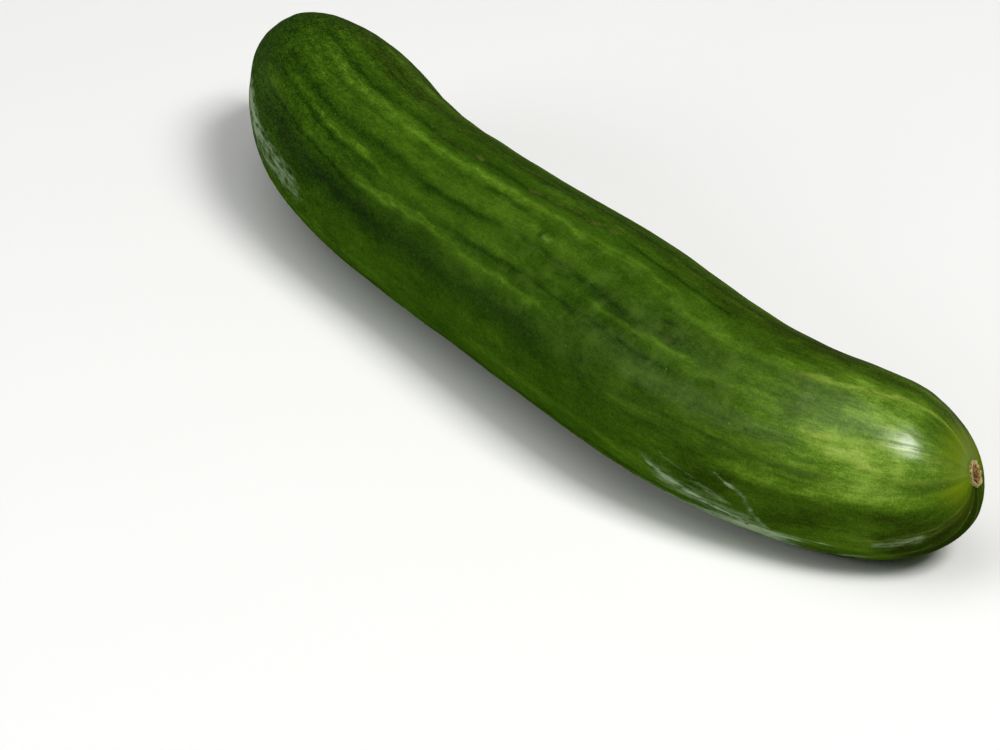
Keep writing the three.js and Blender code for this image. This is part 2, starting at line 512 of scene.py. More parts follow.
@dataclass(frozen=True)
class HiddenSide:
    """Streaks for the sides that lie down or behind: the same kinds and spacing, placed by seeded chance.

    Attributes:
        low: degrees where they begin.
        high: degrees where they end.
        spacing: degrees from one pale band to the next, with a groove halfway.
        seed: picks the places, widths and strengths.
        waver: degrees by which a streak's path may stray.
        reaches: mm along the axis where each length of band begins and ends, before the spreads.
        start_spread: mm by which a band's beginning may shift.
        end_spread: mm by which its end may shift.
        ray_start: mm between which the rays begin.
        ray_end: mm where they end.
        band: how the pale bands vary.
        groove: how the grooves vary.
        ray: how the rays vary.
    """

    low: float = 112
    high: float = 330
    spacing: float = 24
    seed: int = 31
    waver: float = 3
    reaches: tuple[Span, ...] = ((12, 150), (120, 290))
    start_spread: Span = (0, 40)
    end_spread: Span = (-25, 15)
    ray_start: Span = (262, 290)
    ray_end: float = 318
    band: Breed = Breed((4, 9), (0.3, 0.7), 0.06)
    groove: Breed = Breed((2.2, 4.5), (0.3, 0.7), -0.08)
    ray: Breed = Breed((3, 6), (0.15, 0.4))

    def streak(self, rng: Chance, reach: Span, angle: float, breed: Breed) -> Streak:
        """One streak near an angle, with its path, width and strength drawn by chance."""
        path = tuple(angle + rng.uniform(-self.waver, self.waver, size=3))
        return Streak(*reach, path, rng.uniform(*breed.width), rng.uniform(*breed.strength), breed.relief)

    def streaks(self) -> dict[Tone, tuple[Streak, ...]]:
        """Pale bands with grooves between them, in two lengths, and rays towards the blossom end.

        Returns:
            The streaks of each tone.
        """
        rng = np.random.default_rng(self.seed)
        found: dict[Tone, tuple[Streak, ...]] = {tone: () for tone in Tone}
        for angle in np.arange(self.low, self.high, self.spacing):
            for start, end in self.reaches:
                reach = (start + rng.uniform(*self.start_spread), end + rng.uniform(*self.end_spread))
                found[Tone.PALE] += (self.streak(rng, reach, angle, self.band),)
                found[Tone.DARK] += (self.streak(rng, reach, angle + self.spacing / 2, self.groove),)
            reach = (rng.uniform(*self.ray_start), self.ray_end)
            found[Tone.RAY] += (self.streak(rng, reach, angle, self.ray),)
        return found


# ---- Meshes ----


def tube_faces(rings: int, around: int) -> Array:
    """Corner indices of a closed tube of points in rings, whose first and last points are its two poles.

    Args:
        rings: rings of points between the poles.
        around: points in each ring.

    Returns:
        Triangles as rows of three point numbers, facing outwards.
    """
    here = np.arange(around)
    after = (here + 1) % around
    rows = (1 + np.arange(rings - 1) * around)[:, None]
    corners = [rows + here, rows + after, rows + around + after, rows + around + here]
    a, b, c, d = (np.broadcast_to(corner, (rings - 1, around)).ravel() for corner in corners)
    last_ring, last_pole = 1 + (rings - 1) * around, 1 + rings * around
    first_cap = np.stack([np.zeros_like(here), 1 + after, 1 + here], axis=1)
    last_cap = np.stack([np.full_like(here, last_pole), last_ring + here, last_ring + after], axis=1)
    return np.concatenate([first_cap, np.stack([a, b, c], 1), np.stack([a, c, d], 1), last_cap])


def add_object(name: str, data: ID) -> Object:
    """A new object in the scene.

    Args:
        name: the object's name.
        data: its mesh, light or camera.

    Returns:
        The object.
    """
    thing = bpy.data.objects.new(name, data)
    bpy.context.scene.collection.objects.link(thing)
    return thing


def make_mesh(name: str, points: Array, faces: Array) -> Object:
    """A smooth-shaded mesh object at the origin.

    Args:
        name: the object's name.
        points: places in mm.
        faces: rows of point numbers, all with as many corners.

    Returns:
        The object.
    """
    mesh = bpy.data.meshes.new(name)
    mesh.vertices.add(len(points))
    mesh.vertices.foreach_set("co", (points * MM).astype(np.float32).ravel())
    mesh.loops.add(faces.size)
    mesh.loops.foreach_set("vertex_index", faces.astype(np.int32).ravel())
    mesh.polygons.add(len(faces))
    mesh.polygons.foreach_set("loop_start", np.arange(0, faces.size, faces.shape[1], dtype=np.int32))
    mesh.update(calc_edges=True)
    mesh.shade_smooth()
    return add_object(name, mesh)


def carry(thing: Object, name: str, values: Array) -> Object:
    """Stores a vector for each point of a mesh, for its finish to read.

    Args:
        thing: the mesh object.
        name: the attribute's name.
        values: a vector for each point.

    Returns:
        The same object.
    """
    attribute = thing.data.attributes.new(name, "FLOAT_VECTOR", "POINT")
    attribute.data.foreach_set("vector", values.astype(np.float32).ravel())
    return thing


@dataclass(frozen=True)
class Rings:
    """A closed surface round the axis: rings of `around` points, each at its own station and radius in mm."""

    stations: Array
    radii: Array
    around: int

    def grid(self) -> tuple[Array, Array]:
        """Station and angle of every point, ring by ring, with the seam underneath."""
        angles = np.arange(self.around) * (360 / self.around) - 180
        return np.meshgrid(self.stations, angles, indexing="ij")

    @staticmethod
    def with_poles(grid: Array) -> Array:
        """A grid's values as a list, with the means of its first and last rings for the two poles."""
        ends = grid[:1].mean(axis=1), grid[-1:].mean(axis=1)
        return np.concatenate([ends[0], grid.reshape(-1, grid.shape[-1]), ends[1]])

    def points(self, axis: Axis, relief: Relief) -> Array:
        """Places in the axis's frame: centre + (radius + relief) * (up * cos(angle) + side * sin(angle)).

        Args:
            axis: the fruit's axis.
            relief: gives the mm to add, outwards and along the axis, for grids of s, radius and angle.

        Returns:
            A grid of points, none of them below the floor.
        """
        s, angle = self.grid()
        turn = np.radians(angle)
        outwards, onwards = relief(s, np.broadcast_to(self.radii[:, None], s.shape), angle)
        centre, side, up = (part[:, None] for part in axis.frames(self.stations))
        reach = (self.radii[:, None] + outwards)[..., None]
        points = centre + reach * (up * np.cos(turn)[..., None] + side * np.sin(turn)[..., None])
        points += onwards[..., None] * np.cross(up, side)
        points[..., 2] = np.maximum(points[..., 2], 0)
        return points

    def build(self, name: str, points: Array) -> Object:
        """Makes the closed surface, which carries s and the angle's sine and cosine.

        Args:
            name: the object's name.
            points: a grid of points in mm.

        Returns:
            The object.
        """
        thing = make_mesh(name, self.with_poles(points), tube_faces(len(self.stations), self.around))
        s, angle = self.grid()
        turn = np.radians(angle)
        return carry(thing, GROWN, self.with_poles(np.stack([s, np.sin(turn), np.cos(turn)], axis=-1)))


# ---- Shader maths ----


class Wire:
    """A shader socket that takes part in Python arithmetic. Each operation adds one Math node."""

    def __init__(self, tree: "Tree", socket: NodeSocket) -> None:
        """Wraps a socket of the tree."""
        self.tree = tree
        self.socket = socket

    def __add__(self, other: "Wire | float") -> "Wire":
        """This value plus another."""
        return self.tree.maths("ADD", self, other)

    def __sub__(self, other: "Wire | float") -> "Wire":
        """This value less another."""
        return self.tree.maths("SUBTRACT", self, other)

    def __rsub__(self, other: float) -> "Wire":
        """A number less this value."""
        return self.tree.maths("SUBTRACT", other, self)

    def __mul__(self, other: "Wire | float") -> "Wire":
        """This value times another."""
        return self.tree.maths("MULTIPLY", self, other)

    __radd__, __rmul__ = __add__, __mul__


class Tree:
    """The nodes of one material, and the few shader functions that its finish is written with."""

    def __init__(self, name: str) -> None:
        """Starts an empty material.

        Args:
            name: the material's name.
        """
        self.material = bpy.data.materials.new(name)
        self.material.use_nodes = True
        self.nodes = self.material.node_tree.nodes
        self.links = self.material.node_tree.links
        self.nodes.clear()

    def add(self, kind: str, settings: dict[str, object], inputs: dict[str, object], output: str) -> Wire:
        """Adds any node.

        Args:
            kind: the node's type.
            settings: its properties, set first; "stops" fills a colour ramp with (place, colour) pairs.
            inputs: values or wires by socket identifier.
            output: identifier of the socket to hand back, or nothing for the node that ends the tree.

        Returns:
            The output as a wire.
        """
        node = self.nodes.new(kind)
        for key, value in settings.items():
            if key == "stops":
                self.fill_ramp(node.color_ramp.elements, value)
            else:
                setattr(node, key, value)
        sockets = {socket.identifier: socket for socket in node.inputs}
        for key, value in inputs.items():
            if isinstance(value, Wire):
                self.links.new(value.socket, sockets[key])
            else:
                sockets[key].default_value = value
        outputs = {socket.identifier: socket for socket in node.outputs}
        return Wire(self, outputs.get(output))

    @staticmethod
    def fill_ramp(elements: ColorRampElements, stops: Stops) -> None:
        """Replaces a ramp's stops.

        Args:
            elements: the ramp's own list of stops.
            stops: pairs of place and colour, in order.
        """
        while len(elements) > 1:
            elements.remove(elements[-1])
        for i, (place, colour) in enumerate(stops):
            element = elements[0] if i == 0 else elements.new(place)
            element.position = place
            element.color = (*colour, 1)

    def maths(self, operation: str, *values: "Wire | float") -> Wire:
        """A Math node on up to three values."""
        inputs = dict(zip(("Value", "Value_001", "Value_002"), values))
        return self.add("ShaderNodeMath", {"operation": operation}, inputs, "Value")

    def smooth(self, value: Wire, low: float, high: float) -> Wire:
        """Rises smoothly from 0 at `low` to 1 at `high`."""
        inputs = {"Value": value, "From Min": low, "From Max": high, "To Min": 0.0, "To Max": 1.0}
        return self.add("ShaderNodeMapRange", {"interpolation_type": "SMOOTHSTEP"}, inputs, "Result")

    def noise(self, vector: Wire, scale: float, detail: float, roughness: float = 0.5) -> Wire:
        """Perlin noise, even about 0 and seldom beyond a half to either side."""
        inputs = {"Vector": vector, "Scale": scale, "Detail": detail, "Roughness": roughness}
        return self.add("ShaderNodeTexNoise", {"noise_dimensions": "3D"}, inputs, "Fac") - 0.5

    def cells(self, vector: Wire, scale: float) -> Wire:
        """Distance to the nearest of an even scatter of points."""
        return self.add("ShaderNodeTexVoronoi", {}, {"Vector": vector, "Scale": scale}, "Distance")

    def vector(self, x: Wire, y: Wire, z: Wire) -> Wire:
        """A vector from three values."""
        return self.add("ShaderNodeCombineXYZ", {}, {"X": x, "Y": y, "Z": z}, "Vector")

    def object_place(self) -> Wire:
        """Place on the piece, in metres."""
        return self.add("ShaderNodeTexCoord", {}, {}, "Object")

    def apart(self, place: Wire, centre: Array) -> Wire:
        """Mm between each place and a point, which are both given in metres."""
        inputs = {"Vector": place, "Vector_001": tuple(centre)}
        return self.add("ShaderNodeVectorMath", {"operation": "DISTANCE"}, inputs, "Value") * (1 / MM)

    def carried(self, name: str) -> tuple[Wire, ...]:
        """The three values of an attribute that the mesh carries."""
        whole = self.add("ShaderNodeAttribute", {"attribute_name": name}, {}, "Vector")
        return tuple(self.add("ShaderNodeSeparateXYZ", {}, {"Vector": whole}, part) for part in "XYZ")

    def blend(self, share: Wire, under: "Wire | Colour", over: "Wire | Colour") -> Wire:
        """One colour laid over another.

        Args:
            share: how much of the upper one shows, from 0 to 1.
            under: the lower colour.
            over: the upper colour.

        Returns:
            The mixed colour.
        """
        below, above = (colour if isinstance(colour, Wire) else (*colour, 1) for colour in (under, over))
        inputs = {"Factor_Float": share, "A_Color": below, "B_Color": above}
        return self.add("ShaderNodeMix", {"data_type": "RGBA", "clamp_factor": True}, inputs, "Result_Color")

    def ramp(self, value: Wire, stops: Stops) -> Wire:
        """Colour read off a ramp."""
        return self.add("ShaderNodeValToRGB", {"stops": stops}, {"Fac": value}, "Color")

    def surface(
        self, constants: dict[str, float], varying: dict[str, Wire], height: Wire | None = None
    ) -> Material:
        """Ends the material in one Principled shader.

        Args:
            constants: values of the sockets that are the same all over.
            varying: wires of the sockets that change over the surface.
            height: fine relief in mm, shown as a bump.

        Returns:
            The finished material.
        """
        inputs = {**constants, **varying}
        if height is not None:
            relief = {"Height": height, "Strength": 1.0, "Distance": MM}
            inputs["Normal"] = self.add("ShaderNodeBump", {}, relief, "Normal")
        shader = self.add("ShaderNodeBsdfPrincipled", {}, inputs, "BSDF")
        self.add("ShaderNodeOutputMaterial", {}, {"Surface": shader}, "")
        return self.material


# ---- Finishes ----


class SkinMap:
    """What varies over the skin: place, the marks that its mesh carries, noises, and zones from 0 to 1.

    The lengthwise noises read mm along the skin and, at full radius, mm across it.

    Attributes:
        tree: the skin's material.
        radius: mm from the axis to the plain body's skin.
        place: place on the object, in metres.
        s, sine, cosine: mm from the foot of the stalk, and the angle's sine and cosine.
        tone, ray, scuff_and_sheen: streaks, which are pale less dark (the dark takes in painted shade),
            yellowish rays, and scuffs less painted sheen.
        broad, clouds, wash, mottle, fibre, hair: lengthwise noises, from the coarsest to the finest.
        fan: noise that changes round the axis more than along it.
        speckle, grain: the finest noises, even in all directions.
        stalk_end, stalk_half: the skin near the stalk.
        ripe, calm, tip: the skin near the blossom end, ever closer to it.
        pale: where the blossom end is lightest, above and to one side.
        crown: the top of the fruit and what lies just behind it.
        haze_side: the near side of the middle, where a thin haze of sheen is painted.
        polished: the top of the blossom end, with a thick coat of wax.
        lumps: about 1, for breaking streaks up.
        dry: where the skin is scuffed.
    """

    def __init__(self, tree: Tree, axis: Axis) -> None:
        """Adds the nodes that the skin's finish reads.

        Args:
            tree: the skin's material.
            axis: the fruit's axis.
        """
        self.tree = t = tree
        self.radius = axis.radius
        self.place = t.object_place()
        self.s, self.sine, self.cosine = t.carried(GROWN)
        self.tone, self.ray, self.scuff_and_sheen = t.carried(MARKS)

        self.broad = self.lengthwise(stretch=0.4, scale=0.05, detail=2.0)
        self.clouds = self.lengthwise(stretch=0.5, scale=0.17, detail=3.0)
        self.wash = self.lengthwise(stretch=1.0, scale=0.176, detail=4.0, roughness=0.62)
        self.mottle = self.lengthwise(stretch=0.6, scale=0.5, detail=4.0, roughness=0.62)
        self.fibre = self.lengthwise(stretch=0.14, scale=0.9, detail=4.0, roughness=0.6)
        self.hair = self.lengthwise(stretch=0.25, scale=2.4, detail=3.0)
        self.fan = self.lengthwise(stretch=0.06, scale=0.3, detail=2.0)
        self.speckle = t.noise(self.place, scale=900, detail=3.0)
        self.grain = t.noise(self.place, scale=2300, detail=2.0)

        near_side = t.smooth(self.sine, 0.0, 0.3) * t.smooth(self.cosine, 0.1, 0.5)
        self.stalk_end = t.smooth(self.s, 58, 20)
        self.stalk_half = t.smooth(self.s, 130, 25)
        self.ripe = t.smooth(self.s, 200, 296)
        self.pale = t.smooth(self.s, 262, 294) * t.smooth(self.cosine * 0.8 + self.sine * 0.6, 0.25, 0.85)
        self.calm = t.smooth(self.s, 294, 306)
        self.tip = t.smooth(self.s + self.fan * 6, axis.length - 5.5, axis.length)
        self.crown = t.smooth(self.cosine - self.sine * 0.35, 0.85, 1.02) * t.smooth(self.sine, 0.0, -0.25)
        # Painted haze of sheen over the near side of the middle.
        self.haze_side = t.smooth(self.s, 110, 215) * t.smooth(self.s, 300, 272) * near_side
        self.polished = t.smooth(self.s, 258, 288) * t.smooth(self.cosine, 0.1, 0.7)
        self.lumps = 1 + self.mottle * 2.2 + self.hair * 1.4
        self.dry = t.smooth(self.scuff_and_sheen * (self.lumps + self.speckle * 2), 0.25, 1.0)

    def lengthwise(self, stretch: float, scale: float, detail: float, roughness: float = 0.5) -> Wire:
        """Noise on mm along the skin times `stretch`, and mm across it."""
        lane = self.tree.vector(self.s * stretch, self.sine * self.radius, self.cosine * self.radius)
        return self.tree.noise(lane, scale, detail, roughness)


@dataclass(frozen=True)
class Tint:
    """A colour laid over the skin's green, and how much of it shows where its zone is full."""

    colour: Colour
    share: float


@dataclass(frozen=True)
class SkinFinish:
    """Waxy green skin: streaks broken up by mottling and grain, paler and glossier at the blossom end, with
    painted shade, haze and sheen.

    Attributes:
        greens: the greens from the darkest to the palest.
        green_step: lightness from each green to the next.
        plain: lightness of skin without streaks, away from both ends.
        olive: tint of the crown.
        mellow: tint of ripening skin.
        ray: tint of the rays.
        tip: tint round the blossom scar.
        scuff: tint of scuffed skin.
        painted_haze: tint of the painted haze of sheen over the near side.
        painted_sheen: tint of the whitish streaks that paint sheen and reflections.
        pore: tint of the pores.
        roughness: roughness of skin that is looked at squarely.
        rim_roughness: roughness that is added where the skin turns away.
        uneven_roughness: how much the clouds and the grain change it.
        dry_roughness: roughness that scuffs add.
        thin_wax: weight of the wax coat over the upper side.
        thick_wax: weight that is added to it at the polished end.
        wax_roughness: roughness of the wax coat.
        wax_ior: refractive index of the wax.
        mottle_relief, speckle_relief, grain_relief: mm of fine relief from each noise.
    """

    greens: tuple[Colour, ...] = (
        srgb(18, 36, 4),
        srgb(38, 64, 8),
        srgb(55, 85, 13),
        srgb(76, 109, 22),
        srgb(104, 138, 42),
        srgb(132, 160, 64),
        srgb(158, 180, 96),
    )
    green_step: float = 0.25
    plain: float = 0.40
    olive: Tint = Tint(srgb(50, 60, 16), 0.28)
    mellow: Tint = Tint(srgb(130, 130, 40), 0.04)
    ray: Tint = Tint(srgb(146, 164, 68), 0.6)
    tip: Tint = Tint(srgb(104, 122, 14), 0.65)
    scuff: Tint = Tint(srgb(92, 91, 46), 0.6)
    painted_haze: Tint = Tint(srgb(120, 150, 62), 0.13)
    painted_sheen: Tint = Tint(srgb(146, 166, 132), 0.85)
    pore: Tint = Tint(srgb(140, 162, 88), 0.22)
    roughness: float = 0.45
    rim_roughness: float = 0.35
    uneven_roughness: float = 0.15
    dry_roughness: float = 0.2
    thin_wax: float = 0.12
    thick_wax: float = 0.9
    wax_roughness: float = 0.26
    wax_ior: float = 1.5
    mottle_relief: float = 0.07
    speckle_relief: float = 0.03
    grain_relief: float = 0.025

    def lightness(self, skin: SkinMap) -> Wire:
        """How pale the green is: the plain skin's + streaks + clouds + grain + blotches + whole zones.

        Each of these is a noise or a streak, times a weight that changes from zone to zone.

        Args:
            skin: what varies over the skin.

        Returns:
            About 0 at the darkest green, and `green_step` more for each paler one.
        """
        blotches = skin.mottle * 0.3 + skin.fibre * 0.3
        fine = skin.speckle * 0.35 + skin.grain + skin.hair * 0.5
        streaks = skin.tone * (1 - skin.calm * 0.55) * (blotches + 0.37)
        clouds = skin.broad * 0.35 + skin.clouds * (skin.ripe * 0.6 - skin.stalk_end * 0.2 + 0.42)
        grain = fine * (skin.stalk_half * 0.8 + skin.crown * 0.53 + skin.ripe * 0.08 + 0.56)
        coarse = skin.stalk_half * 1.1 + skin.crown * 0.65 + skin.ripe * 0.9 - skin.calm * 1.1 + 0.8
        zones = skin.ripe * 0.14 + skin.pale * 0.36 - skin.stalk_end * 0.16 - skin.calm * 0.34
        return streaks + clouds + grain + blotches * coarse + zones + self.plain

    def colour(self, skin: SkinMap) -> Wire:
        """The green for each lightness, with tints laid on it by their shares, one over the other.

        Args:
            skin: what varies over the skin.

        Returns:
            The colour.
        """
        t = skin.tree
        last = len(self.greens) - 1
        stops = [(i / last, green) for i, green in enumerate(self.greens)]
        colour = t.ramp(self.lightness(skin) * (1 / (self.green_step * last)), stops)
        layers = (
            (self.olive, skin.crown),
            (self.mellow, skin.ripe),
            (self.ray, t.smooth(skin.ray * skin.lumps, 0.05, 1.3)),
            (self.tip, skin.tip * t.smooth(skin.cosine, -0.8, 0.1)),
            (self.scuff, skin.dry),
            # Painted haze of sheen over the near side.
            (self.painted_haze, t.smooth(skin.wash, -0.08, 0.2) * skin.haze_side),
            # Painted sheen and reflections, where scuffs less sheen falls below 0.
            (self.painted_sheen, t.smooth(skin.scuff_and_sheen * (skin.lumps + skin.fibre * 3), -0.1, -1.1)),
            (self.pore, t.smooth(t.cells(skin.place, scale=170), 0.065, 0.03)),
        )
        for tint, zone in layers:
            colour = t.blend(zone * tint.share, colour, tint.colour)
        return colour

    def material(self, axis: Axis) -> Material:
        """Builds the skin's shader: a wax coat over the colour, thin but for the polished blossom end.

        Args:
            axis: the fruit's axis.

        Returns:
            The material.
        """
        t = Tree("waxy_skin")
        skin = SkinMap(t, axis)
        turned = t.add("ShaderNodeLayerWeight", {}, {"Blend": 0.5}, "Facing")
        square = 1 - turned
        rough = turned * turned * turned * self.rim_roughness + self.roughness
        rough += (skin.clouds + skin.grain) * self.uneven_roughness + skin.dry * self.dry_roughness
        upper = t.smooth(skin.cosine, -0.05, 0.7)
        wax = upper * self.thin_wax + skin.polished * square * self.thick_wax
        coat = wax * (1 - skin.dry * 0.5) * square
        height = skin.mottle * self.mottle_relief + skin.speckle * self.speckle_relief
        height += skin.grain * self.grain_relief
        coating = {"Coat Roughness": self.wax_roughness, "Coat IOR": self.wax_ior}
        varying = {"Base Color": self.colour(skin), "Roughness": rough, "Coat Weight": coat}
        return t.surface({"Specular IOR Level": 0.0, **coating}, varying, height)


@dataclass(frozen=True)
class ScarFinish:
    """Dry, crumbly tissue: a pale tan rim, here and there still green, round a darker, cracked middle.

    Attributes:
        rim: colour of the rim.
        middle: colour inside it.
        crack: colour of the cracks.
        fresh: colour of the skin that the rim runs out into.
        rim_radius: mm from the middle to where the rim begins.
        fresh_radius: mm from the middle to where the green begins.
        crumb_scale: how fine the crumbs are.
        crack_scale: how close the cracks are.
        crumb_relief: mm of fine relief from the crumbs.
        crack_relief: mm by which the cracks are deeper.
    """

    rim: Colour = srgb(180, 162, 116)
    middle: Colour = srgb(144, 113, 54)
    crack: Colour = srgb(66, 42, 20)
    fresh: Colour = srgb(112, 122, 54)
    rim_radius: float = 2.4
    fresh_radius: float = 3.0
    crumb_scale: float = 1500
    crack_scale: float = 900
    crumb_relief: float = 0.25
    crack_relief: float = 0.15

    def material(self, centre: Array) -> Material:
        """Builds the scar's shader.

        Args:
            centre: the middle of the scar, in metres.

        Returns:
            The material.
        """
        t = Tree("dry_scar")
        place = t.object_place()
        apart = t.apart(place, centre)
        crumbs = t.noise(place, self.crumb_scale, detail=4.0, roughness=0.65)
        out = t.smooth(apart + crumbs * 1.2, self.rim_radius - 0.5, self.rim_radius + 0.4)
        edge = t.smooth(apart + crumbs * 2, self.fresh_radius - 0.2, self.fresh_radius + 0.3)
        cracks = t.smooth(t.cells(place, self.crack_scale), 0.35, 0.62) * (1 - out * 0.7)
        colour = t.blend(out, self.middle, self.rim)
        colour = t.blend(cracks * 0.85, colour, self.crack)
        colour = t.blend(t.smooth(crumbs, 0.05, 0.2) * 0.4, colour, self.rim)
        colour = t.blend(edge * 0.7, colour, self.fresh)
        height = crumbs * self.crumb_relief - cracks * self.crack_relief
        varying = {"Base Color": colour, "Roughness": crumbs * 0.2 + 0.85}
        return t.surface({"Specular IOR Level": 0.25}, varying, height)


@dataclass(frozen=True)
class StalkFinish:
    """Ridged green stalk with a dry, pale cut face and a ring of darker vessels in it.

    Attributes:
        side: colour of the sides.
        ridge: colour of their paler fibres.
        cut: colour of the cut face.
        dried: colour of its dried patches.
        vessel: colour of the vessels.
        vessels: how many vessels there are.
        vessel_ring: mm from the middle of the cut face to the vessels.
        face_depth: mm below the edge of the cut between which its colour gives way to the side's.
        fibre_relief: mm of fine relief on the sides.
        face_relief: mm of fine relief that the cut face adds.
    """

    side: Colour = srgb(74, 108, 34)
    ridge: Colour = srgb(118, 142, 66)
    cut: Colour = srgb(168, 172, 110)
    dried: Colour = srgb(132, 112, 66)
    vessel: Colour = srgb(92, 92, 40)
    vessels: int = 10
    vessel_ring: float = 2.1
    face_depth: Span = (0.2, 0.45)
    fibre_relief: float = 0.08
    face_relief: float = 0.1

    def material(self, cut_at: float, centre: Array) -> Material:
        """Builds the stalk's shader.

        Args:
            cut_at: mm along the axis where the cut lies.
            centre: the middle of the cut face, in metres.

        Returns:
            The material.
        """
        t = Tree("cut_stalk")
        place = t.object_place()
        s, sine, cosine = t.carried(GROWN)
        fibres = t.noise(t.vector(s * 0.3, sine * 4, cosine * 4), scale=3.0, detail=3.0)
        dry = t.noise(place, scale=1100, detail=3.0)
        spokes = t.smooth(t.maths("COSINE", t.maths("ARCTAN2", sine, cosine) * self.vessels), 0.2, 0.8)
        ring = t.smooth(t.maths("ABSOLUTE", t.apart(place, centre) - self.vessel_ring), 0.45, 0.15)
        bark = t.blend(t.smooth(fibres, -0.15, 0.2), self.side, self.ridge)
        wood = t.blend(t.smooth(dry, -0.1, 0.15), self.cut, self.dried)
        wood = t.blend(ring * spokes * 0.8, wood, self.vessel)
        shallow, deep = self.face_depth
        face = t.smooth(s, cut_at + deep, cut_at + shallow)
        height = fibres * self.fibre_relief + dry * face * self.face_relief
        varying = {"Base Color": t.blend(face, bark, wood), "Roughness": dry * 0.2 + 0.7}
        return t.surface({"Specular IOR Level": 0.35}, varying, height)


@dataclass(frozen=True)
class FloorFinish:
    """Plain pale matt board, a little uneven in tone."""

    light: Colour = srgb(249, 249, 248)
    shade: Colour = srgb(244, 244, 243)

    def material(self) -> Material:
        """Builds the floor's shader.

        Returns:
            The material.
        """
        t = Tree("pale_board")
        clouds = t.noise(t.object_place(), scale=3, detail=3.0) + 0.5
        varying = {"Base Color": t.blend(clouds, self.shade, self.light), "Roughness": clouds * 0.1 + 0.8}
        return t.surface({"Specular IOR Level": 0.2}, varying)


# ---- Pieces of the fruit ----

NARROWEST = 0.05  # mm, the radius of a ring next to a pole


def smooth_profile(knots: Profile, count: int) -> tuple[Array, Array]:
    """A Catmull-Rom curve through a few knots: in each gap, a cubic from the two knots to either side.

    Args:
        knots: pairs of distance out and radius, in mm.
        count: points to give along the whole curve.

    Returns:
        Distances out and radii.
    """
    k = np.array(knots, float)
    k = np.vstack([2 * k[0] - k[1], k, 2 * k[-1] - k[-2]])
    place = np.linspace(0, len(knots) - 1, count)
    i = np.minimum(place.astype(int), len(knots) - 2)
    u = (place - i)[:, None]
    a, b, c, d = k[i], k[i + 1], k[i + 2], k[i + 3]
    curve = 0.5 * (2 * b + (c - a) * u + (2 * a - 5 * b + 4 * c - d) * u**2 + (3 * b - a - 3 * c + d) * u**3)
    return curve[:, 0], np.maximum(curve[:, 1], NARROWEST)


def unrolled(s: Array, radius: Array | float, angle: Array) -> Array:
    """Places as if the fruit grew straight: mm along it, and two mm values across it."""
    turn = np.radians(angle)
    return np.stack([s, radius * np.sin(turn), radius * np.cos(turn)], axis=-1)


class Piece(ABC):
    """A closed piece of the fruit: rings round its axis, the relief on them, and a finish.

    Attributes:
        axis: the fruit's axis.
        name: the object's name.
        slot: a name for its material, which only the log shows.
    """

    axis: Axis
    name: str
    slot: str

    @abstractmethod
    def rings(self) -> Rings:
        """The rings that the piece is drawn on, without its relief."""

    @abstractmethod
    def relief(self, s: Array, radius: Array, angle: Array) -> tuple[Array, Array]:
        """What the piece adds to its rings.

        Args:
            s: grid of mm along the axis.
            radius: grid of mm from the axis.
            angle: grid of degrees round the axis.

        Returns:
            Mm to add outwards, and mm to add along the axis.
        """

    @abstractmethod
    def material(self, offset: Array) -> Material:
        """The piece's finish, where `offset` leads from the axis's own frame to the object's."""

    def points(self) -> Array:
        """The grid of points in the axis's own frame, in mm."""
        return self.rings().points(self.axis, self.relief)

    def spot(self, s: float, offset: Array) -> Array:
        """One place on the axis, in metres in the object's frame."""
        return (self.axis.centre(np.array([s]))[0] + offset) * MM

    def build(self, offset: Array) -> Object:
        """Makes and dresses the piece, hangs it on the fruit's body and hides the CAD fruit, which it stands
        for.

        Args:
            offset: mm from the axis's own frame to the object's.

        Returns:
            The object.
        """
        piece = self.rings().build(self.name, self.points() + offset)
        piece.data.materials.append(self.material(offset))
        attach(piece, BODY)
        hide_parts(NODE)
        return piece


